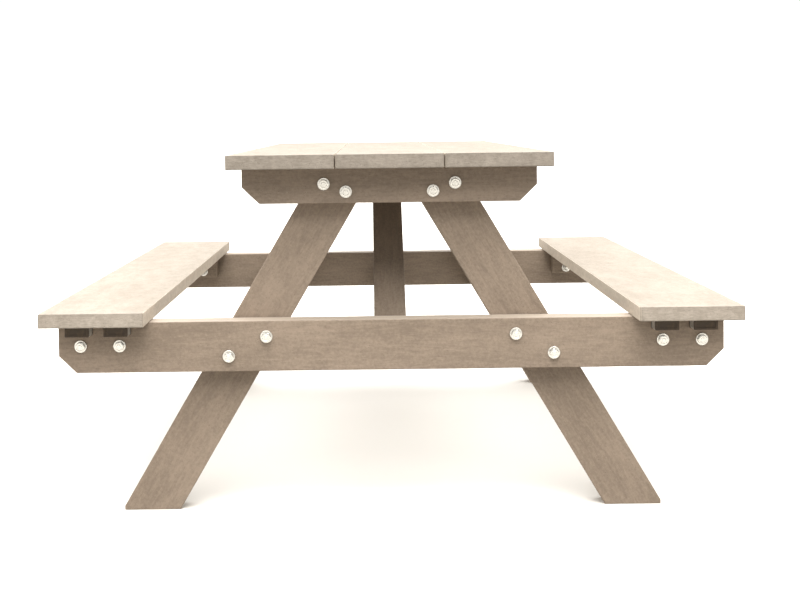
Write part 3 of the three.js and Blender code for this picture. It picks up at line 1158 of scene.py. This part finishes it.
def drive_screw(context, name, place, facing):
    """Puts a screw head on a face, turned a little differently each time."""
    fittings = context.scene.picnic_fittings
    mesh = bpy.data.meshes.get("screw_head") or screw_mesh(fittings)
    piece = add_piece(name, mesh, material(stainless, fittings), "bolt")
    turn = Matrix.Rotation(random.Random(name).uniform(0, math.pi / 3), 4, "Z")
    piece.matrix_world = Matrix.Translation(place) @ facing_matrix(facing, "Z") @ turn
    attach(piece, BODY)


class PICNIC_OT_plank_screws(bpy.types.Operator):
    """Drive the screws that hold the planks from below, through the batten and the box sections"""

    bl_idname = "picnic.plank_screws"
    bl_label = "Plank Screws"

    def execute(self, context):
        down = Vector((0, 0, -1))
        under_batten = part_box("top_batten")[0].z
        for plank in TOP_PLANKS:
            low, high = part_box(plank)
            for number, share in enumerate(BATTEN_SCREWS):
                place = Vector((low.x + (high.x - low.x) * share, 0, under_batten))
                drive_screw(context, f"screw_{plank}_{number}", place, down)
        for side in SIDES:
            for where in SECTION_PLACES:
                node = f"seat_section_{side}_{where}"
                low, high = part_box(node)
                for number, share in enumerate(SECTION_SCREWS):
                    place = Vector(((low.x + high.x) / 2, low.y + (high.y - low.y) * share, low.z))
                    drive_screw(context, f"screw_{node}_{number}", place, down)
        return {"FINISHED"}


class PICNIC_OT_stage(bpy.types.Operator):
    """Lay the pale floor and set up the surround, the soft lamp and the camera"""

    bl_idname = "picnic.stage"
    bl_label = "Stage"

    def execute(self, context):
        stage = context.scene.picnic_stage
        self.lay_floor(context, stage)
        self.light(context, stage)
        self.place_camera(context, stage)
        return {"FINISHED"}

    def lay_floor(self, context, stage):
        """A wide floor that neither darkens the underside nor throws light at it."""
        reach = stage.floor_reach
        corners = [(-reach, -reach, 0), (reach, -reach, 0), (reach, reach, 0), (-reach, reach, 0)]
        mesh = bpy.data.meshes.new("floor")
        mesh.from_pydata(corners, [], [(0, 1, 2, 3)])
        mesh.materials.append(material(floor_paint, stage))
        floor = bpy.data.objects.new("floor", mesh)
        context.scene.collection.objects.link(floor)
        floor.visible_diffuse = False
        floor.visible_shadow = False

    def light(self, context, stage):
        """A surround that brightens in soft steps up to the ceiling, and one soft lamp in front."""
        recipe = Recipe(bpy.data.worlds.new("surround"))
        direction = recipe.node("ShaderNodeTexCoord", output="Generated")
        height = recipe.node("ShaderNodeSeparateXYZ", {}, {"Vector": direction}, "Z")
        brightness = stage.glow + (stage.wall - stage.glow) * height.rise(-0.09, -0.03)
        brightness += (stage.upper_wall - stage.wall) * height.rise(0.38, 0.47)
        brightness += (stage.ceiling - stage.upper_wall) * height.rise(0.72, 0.81)
        tone = recipe.blend(height.rise(-0.35, -0.06), stage.glow_tone, (1, 1, 1))
        background = recipe.node("ShaderNodeBackground", {}, {"Color": tone, "Strength": brightness})
        recipe.node("ShaderNodeOutputWorld", {}, {"Surface": background})
        context.scene.world = recipe.owner
        lamp = bpy.data.lights.new("soft_lamp", "AREA")
        lamp.shape = "SQUARE"
        lamp.size = stage.lamp_width
        lamp.energy = stage.lamp_power
        hanging = bpy.data.objects.new("soft_lamp", lamp)
        place = Vector(stage.lamp_place)
        aim = Vector((0, 0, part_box("front_rail")[1].z)) - place
        hanging.matrix_world = Matrix.Translation(place) @ facing_matrix(aim, "-Z")
        hanging.visible_camera = False
        context.scene.collection.objects.link(hanging)
        context.scene.view_settings.view_transform = "Standard"

    def place_camera(self, context, stage):
        """A camera in front of the table, a little above its top."""
        lens = bpy.data.cameras.new("camera")
        lens.lens = stage.lens
        lens.sensor_width = 36
        lens.shift_x, lens.shift_y = stage.shift
        lens.clip_end = 100
        camera = bpy.data.objects.new("camera", lens)
        turn = Matrix.Rotation(stage.pan, 4, "Z") @ Matrix.Rotation(stage.tilt, 4, "X")
        turn = turn @ Matrix.Rotation(stage.roll, 4, "Y") @ Matrix.Rotation(math.pi / 2, 4, "X")
        camera.matrix_world = Matrix.Translation(stage.camera_place) @ turn
        context.scene.collection.objects.link(camera)
        context.scene.camera = camera


class PICNIC_PT_table(bpy.types.Panel):
    """Lists the steps that build the table, and its settings"""

    bl_label = "Picnic Table"
    bl_idname = "PICNIC_PT_table"
    bl_space_type = "VIEW_3D"
    bl_region_type = "UI"
    bl_category = "Picnic Table"

    def draw(self, context):
        for operator in OPERATORS:
            self.layout.operator(operator.bl_idname)
        for pointer in SETTINGS:
            group = getattr(context.scene, pointer)
            box = self.layout.box()
            for name in group.__annotations__:
                box.prop(group, name)


SETTINGS = {
    "picnic_planks": PlankSettings,
    "picnic_beams": BeamSettings,
    "picnic_fittings": FittingSettings,
    "picnic_stage": StageSettings,
}

OPERATORS = (
    PICNIC_OT_stage,
    PICNIC_OT_top_planks,
    PICNIC_OT_seat_planks,
    PICNIC_OT_rails,
    PICNIC_OT_bearers,
    PICNIC_OT_legs,
    PICNIC_OT_seat_blocks,
    PICNIC_OT_bracing,
    PICNIC_OT_seat_sections,
    PICNIC_OT_brackets,
    PICNIC_OT_plank_screws,
    PICNIC_OT_bolts,
)


def register():
    for made in (*SETTINGS.values(), *OPERATORS, PICNIC_PT_table):
        bpy.utils.register_class(made)
    for pointer, group in SETTINGS.items():
        setattr(bpy.types.Scene, pointer, bpy.props.PointerProperty(type=group))


def unregister():
    for pointer in SETTINGS:
        delattr(bpy.types.Scene, pointer)
    for made in reversed((*SETTINGS.values(), *OPERATORS, PICNIC_PT_table)):
        bpy.utils.unregister_class(made)


def main():
    register()
    for operator in OPERATORS:
        family, name = operator.bl_idname.split(".")
        getattr(getattr(bpy.ops, family), name)()


if __name__ == "__main__":
    main()
